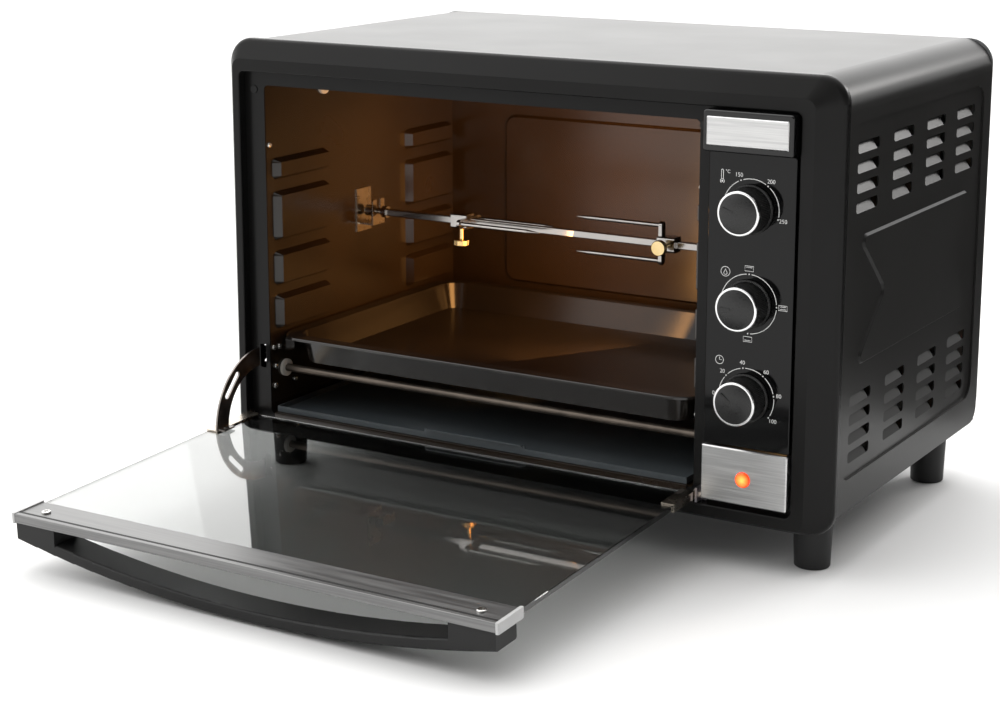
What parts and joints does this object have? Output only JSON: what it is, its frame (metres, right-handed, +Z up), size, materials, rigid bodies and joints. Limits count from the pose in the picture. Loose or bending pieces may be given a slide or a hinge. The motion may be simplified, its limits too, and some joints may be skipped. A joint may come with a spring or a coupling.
{
  "type": "rotisserie oven",
  "caption": "Countertop oven with a drop-down glass door, a motor-driven spit and forks, baking and crumb trays, heating elements, convection fan and a column of control dials.",
  "frame": {"origin": "centre of the four feet on the surface they stand on", "axes": "+X to the right as seen from the front, +Y from the door to the rear panel, +Z up"},
  "size_m": [0.55, 0.615, 0.376],
  "materials": {
    "black_paint": "satin",
    "zinc_sheet": "satin",
    "black_enamel": "gloss",
    "crumb_enamel": "satin",
    "gloss_black": "gloss",
    "brushed_plate": "brushed",
    "knob_black": "matte",
    "ring_chrome": "mirror",
    "handle_black": "satin",
    "clear_glass": "polished",
    "bulb_glass": "polished",
    "rail_aluminium": "satin",
    "cap_grey": "satin",
    "seal_rubber": "matte",
    "nickel_steel": "satin",
    "dark_steel": "satin",
    "chrome_steel": "polished",
    "thumbscrew_brass": "polished",
    "screw_steel": "bright",
    "element_sheath": "satin",
    "ceramic_white": "matte",
    "motor_steel": "satin",
    "spindle_steel": "bright",
    "lens_amber": "polished",
    "lamp_body": "matte"
  },
  "bodies": {
    "housing": {"base_plate": "black_paint", "bulb_cover": "clear_glass", "cavity_back": "black_enamel", "cavity_ceiling": "black_enamel", "cavity_floor": "black_enamel", "cavity_left_wall": "black_enamel", "cavity_right_wall": "black_enamel", "control_fascia": "gloss_black", "cord_gland": "handle_black", "door_bumpers": "seal_rubber", "element_insulators": "ceramic_white", "fan_grille": "nickel_steel", "fan_motor": "motor_steel", "feet": "handle_black", "front_frame": "black_paint", "function_switch": "motor_steel", "heating_elements": "element_sheath", "hinge_pins": "nickel_steel", "housing_screws": "screw_steel", "lower_plate": "brushed_plate", "outer_shell": "black_paint", "oven_bulb": "bulb_glass", "pilot_lamp": "lamp_body", "pilot_lens": "lens_amber", "rear_panel": "zinc_sheet", "right_hinge_bracket": "zinc_sheet", "rotisserie_motor": "motor_steel", "spit_rest": "nickel_steel", "thermostat": "motor_steel", "timer": "motor_steel", "upper_block": "gloss_black", "upper_plate": "brushed_plate"},
    "door": {"door_glass": "clear_glass", "trim_rail": "rail_aluminium", "rail_seal": "seal_rubber", "rail_end_caps": "cap_grey", "handle": "handle_black", "door_fasteners": "screw_steel", "left_hinge_clip": "nickel_steel", "right_hinge_clip": "nickel_steel", "stay_arm": "dark_steel"},
    "temperature_control": {"temperature_knob": "knob_black", "temperature_knob_ring": "ring_chrome", "temperature_spindle": "spindle_steel"},
    "function_control": {"function_knob": "knob_black", "function_knob_ring": "ring_chrome", "function_spindle": "spindle_steel"},
    "timer_control": {"timer_knob": "knob_black", "timer_knob_ring": "ring_chrome", "timer_spindle": "spindle_steel"},
    "spit": {"drive_socket": "chrome_steel", "spit_rod": "chrome_steel"},
    "fork_left": {"left_fork": "chrome_steel"},
    "fork_right": {"right_fork": "chrome_steel"},
    "thumbscrew_left": {"left_thumbscrew": "thumbscrew_brass"},
    "thumbscrew_right": {"right_thumbscrew": "thumbscrew_brass"},
    "fan": {"fan_impeller": "dark_steel"},
    "tray": {"baking_tray": "black_enamel"},
    "crumbs": {"crumb_tray": "crumb_enamel"}
  },
  "joints": [
    {"name": "door_hinge", "type": "hinge", "parent": "housing", "child": "door", "pos_m": [0, -0.159, 0.052], "axis": [-1, 0, 0], "range_deg": [0, 92.2]},
    {"name": "temperature_turn", "type": "hinge", "parent": "housing", "child": "temperature_control", "pos_m": [0.2055, -0.1635, 0.276], "axis": [0, 1, 0], "range_deg": [-45, 210]},
    {"name": "function_turn", "type": "hinge", "parent": "housing", "child": "function_control", "pos_m": [0.2055, -0.1635, 0.2055], "axis": [0, 1, 0], "range_deg": [0, 270]},
    {"name": "timer_turn", "type": "hinge", "parent": "housing", "child": "timer_control", "pos_m": [0.2055, -0.1635, 0.1345], "axis": [0, 1, 0], "range_deg": [-45, 255]},
    {"name": "spit_spin", "type": "hinge", "parent": "housing", "child": "spit", "pos_m": [0, -0.0125, 0.21], "axis": [1, 0, 0], "continuous": true},
    {"name": "left_fork_slide", "type": "slide", "parent": "spit", "child": "fork_left", "axis": [1, 0, 0], "range_m": [-0.05, 0.008]},
    {"name": "right_fork_slide", "type": "slide", "parent": "spit", "child": "fork_right", "axis": [1, 0, 0], "range_m": [-0.008, 0.05]},
    {"name": "left_thumbscrew_turn", "type": "hinge", "parent": "fork_left", "child": "thumbscrew_left", "pos_m": [-0.139, -0.0125, 0.197], "axis": [0, 0, 1], "range_deg": [-360, 90]},
    {"name": "right_thumbscrew_turn", "type": "hinge", "parent": "fork_right", "child": "thumbscrew_right", "pos_m": [0.065, -0.0255, 0.21], "axis": [0, 1, 0], "range_deg": [-360, 90]},
    {"name": "fan_spin", "type": "hinge", "parent": "housing", "child": "fan", "pos_m": [0.17, -0.0045, 0.284], "axis": [1, 0, 0], "continuous": true},
    {"name": "baking_tray_slide", "type": "slide", "parent": "housing", "child": "tray", "axis": [0, 1, 0], "range_m": [-0.2, 0]},
    {"name": "crumb_tray_slide", "type": "slide", "parent": "housing", "child": "crumbs", "axis": [0, 1, 0], "range_m": [-0.2, 0]}
  ]
}
